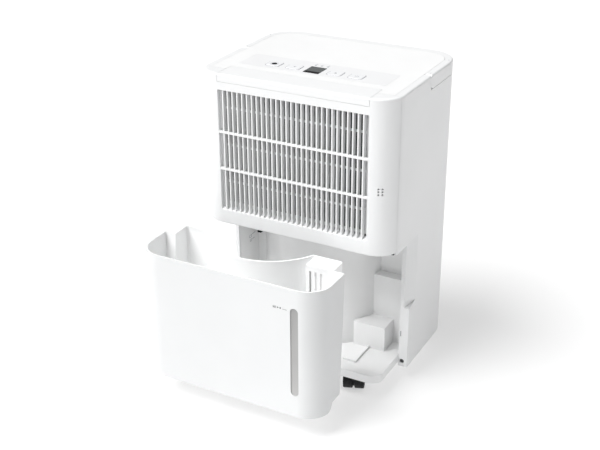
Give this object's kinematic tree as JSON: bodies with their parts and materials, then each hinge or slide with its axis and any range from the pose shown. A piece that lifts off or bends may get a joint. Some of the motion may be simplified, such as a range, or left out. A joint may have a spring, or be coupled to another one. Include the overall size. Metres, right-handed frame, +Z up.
{
  "type": "dehumidifier",
  "caption": "White upright dehumidifier with a louvred air intake, flush top controls, a lifting bail handle, casters, and a removable water tank drawn out in front.",
  "frame": {"origin": "on the floor, under the middle of the body", "axes": "+Z up, the front faces -Y, +X is the right-hand side seen from the front"},
  "size_m": [0.2977, 0.334, 0.4207],
  "materials": {
    "white_casing": "satin moulded ABS",
    "panel_film": "smooth printed film",
    "button_white": "satin",
    "tank_plastic": "satin moulded ABS",
    "tank_clear": "frosted clear plastic",
    "bay_plastic": "fine moulded texture",
    "black_plastic": "satin",
    "caster_wheel": "satin rubber",
    "display_glass": "gloss",
    "lamp": "gloss",
    "steel": "satin zinc",
    "copper": "drawn tube",
    "fins": "bright fin stock",
    "mesh": "fine net",
    "circuit_board": "lacquered",
    "pot_paint": "gloss black",
    "fan_plastic": "satin",
    "rubber": "matte",
    "foam": "fine foam",
    "magnet": "ferrite"
  },
  "bodies": {
    "cabinet": {"cabinet_shell": "white_casing", "front_cover": "white_casing", "intake_grille": "white_casing", "top_cover": "white_casing", "control_panel": "panel_film", "display_window": "display_glass", "indicator_lamps": "lamp", "control_board": "circuit_board", "handle_pins": "steel", "case_screws": "steel", "bay_liner": "bay_plastic", "base_tray": "bay_plastic", "caster_sockets": "black_plastic", "divider": "bay_plastic", "drip_tray": "bay_plastic", "drip_spout": "black_plastic", "evaporator": "fins", "condenser": "fins", "fan_shroud": "bay_plastic", "fan_motor": "steel", "outlet_grille": "white_casing", "compressor": "pot_paint", "compressor_mounts": "rubber", "refrigerant_pipes": "copper", "capacitor": "black_plastic", "power_board": "circuit_board", "humidity_sensor": "black_plastic", "tank_sensor": "black_plastic", "drain_port": "bay_plastic", "cord_inlet": "black_plastic"},
    "tank": {"tank_shell": "tank_plastic", "tank_window": "tank_clear", "float_cage": "tank_plastic"},
    "float": {"float": "foam", "float_magnet": "magnet"},
    "filter": {"filter_grip": "white_casing", "filter_frame": "bay_plastic", "filter_mesh": "mesh"},
    "handle": {"carry_handle": "white_casing"},
    "fan": {"fan_wheel": "fan_plastic", "fan_shaft": "steel"},
    "drain_plug": {"drain_plug": "rubber"},
    "mode_key": {"mode_button": "button_white", "mode_button_lens": "display_glass"},
    "down_key": {"down_button": "button_white"},
    "up_key": {"up_button": "button_white"},
    "power_key": {"power_button": "button_white"},
    "swivel_front_right": {"caster_hood_front_right": "black_plastic"},
    "wheels_front_right": {"caster_wheels_front_right": "caster_wheel", "caster_axle_front_right": "steel"},
    "swivel_front_left": {"caster_hood_front_left": "black_plastic"},
    "wheels_front_left": {"caster_wheels_front_left": "caster_wheel", "caster_axle_front_left": "steel"},
    "swivel_rear_right": {"caster_hood_rear_right": "black_plastic"},
    "wheels_rear_right": {"caster_wheels_rear_right": "caster_wheel", "caster_axle_rear_right": "steel"},
    "swivel_rear_left": {"caster_hood_rear_left": "black_plastic"},
    "wheels_rear_left": {"caster_wheels_rear_left": "caster_wheel", "caster_axle_rear_left": "steel"}
  },
  "joints": [
    {"name": "tank_slide", "type": "slide", "parent": "cabinet", "child": "tank", "axis": [0.2663, 0.9639, 0], "range_m": [0, 0.1182]},
    {"name": "float_rise", "type": "slide", "parent": "tank", "child": "float", "axis": [0, 0, 1], "range_m": [0, 0.018]},
    {"name": "filter_pull", "type": "slide", "parent": "cabinet", "child": "filter", "axis": [0, 0, 1], "range_m": [0, 0.18]},
    {"name": "handle_lift", "type": "hinge", "parent": "cabinet", "child": "handle", "pos_m": [0, 0.008, 0.4153], "axis": [1, 0, 0], "range_deg": [0, 90]},
    {"name": "fan_spin", "type": "hinge", "parent": "cabinet", "child": "fan", "pos_m": [0, -0.019, 0.318], "axis": [0, 1, 0], "continuous": true},
    {"name": "drain_plug_pull", "type": "slide", "parent": "cabinet", "child": "drain_plug", "axis": [0, 1, 0], "range_m": [0, 0.02]},
    {"name": "mode_press", "type": "slide", "parent": "cabinet", "child": "mode_key", "axis": [0, 0, -1], "range_m": [0, 0.0008], "stiffness_N_per_m": 500},
    {"name": "down_press", "type": "slide", "parent": "cabinet", "child": "down_key", "axis": [0, 0, -1], "range_m": [0, 0.0008], "stiffness_N_per_m": 500},
    {"name": "up_press", "type": "slide", "parent": "cabinet", "child": "up_key", "axis": [0, 0, -1], "range_m": [0, 0.0008], "stiffness_N_per_m": 500},
    {"name": "power_press", "type": "slide", "parent": "cabinet", "child": "power_key", "axis": [0, 0, -1], "range_m": [0, 0.0008], "stiffness_N_per_m": 500},
    {"name": "swivel_front_right", "type": "hinge", "parent": "cabinet", "child": "swivel_front_right", "pos_m": [0.0767, -0.077, 0.0265], "axis": [0, 0, 1], "continuous": true},
    {"name": "roll_front_right", "type": "hinge", "parent": "swivel_front_right", "child": "wheels_front_right", "pos_m": [0.07903, -0.08307, 0.0125], "axis": [-0.9336, -0.3584, 0], "continuous": true},
    {"name": "swivel_front_left", "type": "hinge", "parent": "cabinet", "child": "swivel_front_left", "pos_m": [-0.0767, -0.077, 0.0265], "axis": [0, 0, 1], "continuous": true},
    {"name": "roll_front_left", "type": "hinge", "parent": "swivel_front_left", "child": "wheels_front_left", "pos_m": [-0.07805, -0.08336, 0.0125], "axis": [-0.9781, 0.2079, 0], "continuous": true},
    {"name": "swivel_rear_right", "type": "hinge", "parent": "cabinet", "child": "swivel_rear_right", "pos_m": [0.095, 0.075, 0.0265], "axis": [0, 0, 1], "continuous": true},
    {"name": "roll_rear_right", "type": "hinge", "parent": "swivel_rear_right", "child": "wheels_rear_right", "pos_m": [0.09137, 0.08039, 0.0125], "axis": [0.829, 0.5592, 0], "continuous": true},
    {"name": "swivel_rear_left", "type": "hinge", "parent": "cabinet", "child": "swivel_rear_left", "pos_m": [-0.095, 0.075, 0.0265], "axis": [0, 0, 1], "continuous": true},
    {"name": "roll_rear_left", "type": "hinge", "parent": "swivel_rear_left", "child": "wheels_rear_left", "pos_m": [-0.09195, 0.08074, 0.0125], "axis": [0.8829, -0.4695, 0], "continuous": true}
  ]
}
